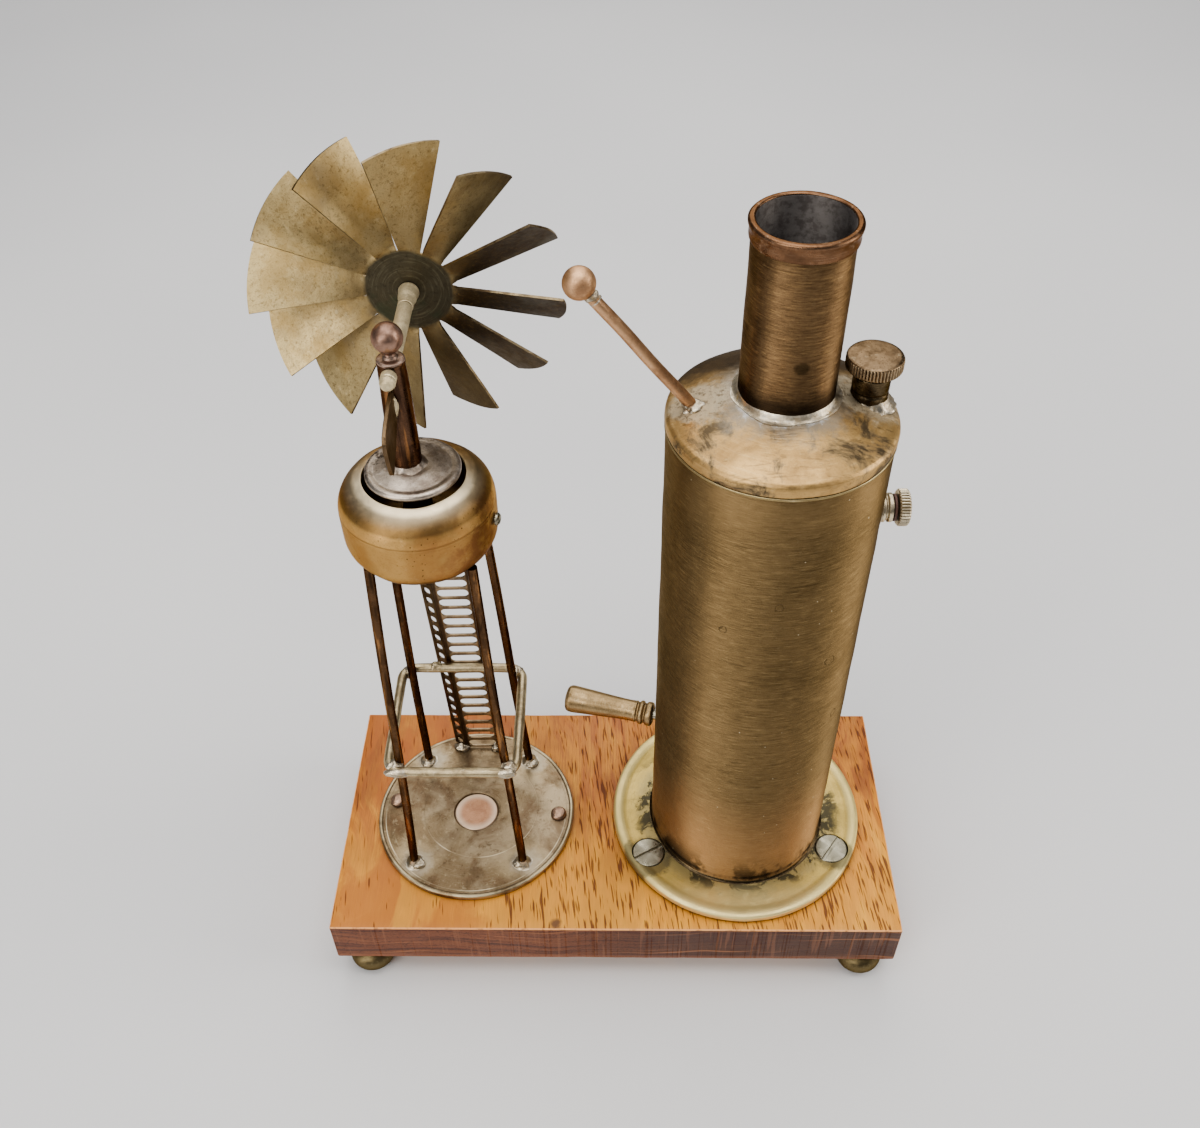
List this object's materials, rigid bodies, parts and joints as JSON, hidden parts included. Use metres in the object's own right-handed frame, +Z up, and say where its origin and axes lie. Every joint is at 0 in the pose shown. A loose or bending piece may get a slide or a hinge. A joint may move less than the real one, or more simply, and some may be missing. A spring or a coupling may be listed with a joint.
{
  "type": "model steam windmill",
  "caption": "Brass demonstration model: a spirit-fired boiler blows a steam jet at a bladed fan wheel on a swivelling tower head, on an oak base.",
  "frame": {"origin": "on the table plane under the middle of the whole object's box", "axes": "+Z up, -Y to the front long side, +X from the tower towards the boiler"},
  "size_m": [0.1411, 0.069, 0.1954],
  "materials": {
    "oak": "waxed medium oak with open pores",
    "turned_brass": "turned, dull with age",
    "drum_brass": "spun, golden with orange patina",
    "cap_brass": "spun, golden with dark solder stain",
    "shell_brass": "dark patina, fine turned scratches",
    "flange_brass": "yellow-green brass, stained",
    "fan_sheet": "mottled khaki patina, bright worn edges",
    "pale_brass": "pale brass, solder coloured at joints",
    "bronze_rod": "dark brown bronze, worn along the edges",
    "copper_red": "reddish copper-brown, polished on the high spots",
    "filler_brass": "knurled, golden brown",
    "tinned_plate": "tinned brass, grey-brown stains",
    "steel": "dull, slightly oxidised",
    "fibre": "red-brown fibre washer",
    "wick_cotton": "plaited cotton, singed at the top"
  },
  "bodies": {
    "stand": {"oak_base": "oak", "foot_front_left": "turned_brass", "foot_front_right": "turned_brass", "foot_back_left": "turned_brass", "foot_back_right": "turned_brass", "tower_plate": "tinned_plate", "centre_plug": "copper_red", "plate_pin_left": "steel", "plate_pin_right": "steel", "tower_leg_front_left": "bronze_rod", "tower_leg_front_right": "bronze_rod", "tower_leg_back_left": "bronze_rod", "tower_leg_back_right": "bronze_rod", "gallery_rail": "pale_brass", "ladder": "bronze_rod", "drum": "drum_brass", "drum_screw": "steel", "pivot_bush": "turned_brass", "boiler_flange": "flange_brass", "flange_screw_left": "steel", "flange_screw_right": "steel", "flange_screw_back": "steel", "boiler_shell": "shell_brass", "firebox_crown": "shell_brass", "flue_tube": "shell_brass", "boiler_cap": "cap_brass", "chimney": "shell_brass", "chimney_rim": "copper_red", "jet_pipe": "copper_red", "jet_ball": "copper_red", "filler_neck": "pale_brass", "level_boss": "pale_brass"},
    "head": {"turntable": "tinned_plate", "swivel_pin": "steel", "swivel_nut": "turned_brass", "post": "bronze_rod", "post_ball": "copper_red", "bearing_sleeve": "pale_brass", "tail_vane": "bronze_rod"},
    "fan": {"fan_wheel": "fan_sheet", "fan_hub": "pale_brass", "fan_axle": "pale_brass", "fan_nut": "pale_brass"},
    "filler_seal": {"filler_washer": "fibre"},
    "filler_screw": {"filler_plug": "filler_brass"},
    "level_seal": {"level_washer": "fibre"},
    "level_screw": {"level_plug": "pale_brass"},
    "burner": {"burner_tank": "turned_brass", "wick_tube": "turned_brass", "wick": "wick_cotton", "burner_stem": "steel", "burner_handle": "pale_brass"}
  },
  "joints": [
    {"name": "head_swivel", "type": "hinge", "parent": "stand", "child": "head", "pos_m": [-0.0387, 0, 0.1395], "axis": [0, 0, 1], "range_deg": [-25, 200]},
    {"name": "fan_spin", "type": "hinge", "parent": "head", "child": "fan", "pos_m": [-0.0397, 0.0257, 0.1644], "axis": [0, 1, 0], "continuous": true},
    {"name": "filler_rise", "type": "slide", "parent": "stand", "child": "filler_seal", "axis": [0, 0, 1], "range_m": [0, 0.0028]},
    {"name": "filler_turn", "type": "hinge", "parent": "filler_seal", "child": "filler_screw", "pos_m": [0.0479, 0.0015, 0.1659], "axis": [0, 0, 1], "range_deg": [0, 1440.5]},
    {"name": "level_draw", "type": "slide", "parent": "stand", "child": "level_seal", "axis": [1, 0, 0], "range_m": [0, 0.0021]},
    {"name": "level_turn", "type": "hinge", "parent": "level_seal", "child": "level_screw", "pos_m": [0.0597, 0.0005, 0.1297], "axis": [1, 0, 0], "range_deg": [0, 1080.5]},
    {"name": "burner_slide", "type": "slide", "parent": "stand", "child": "burner", "axis": [-0.7431, 0.6691, 0], "range_m": [0, 0.048]}
  ],
  "couplings": [
    {"joint": "filler_turn", "follows": "filler_rise", "rad_per_m": 8976},
    {"joint": "level_turn", "follows": "level_draw", "rad_per_m": 8976}
  ]
}
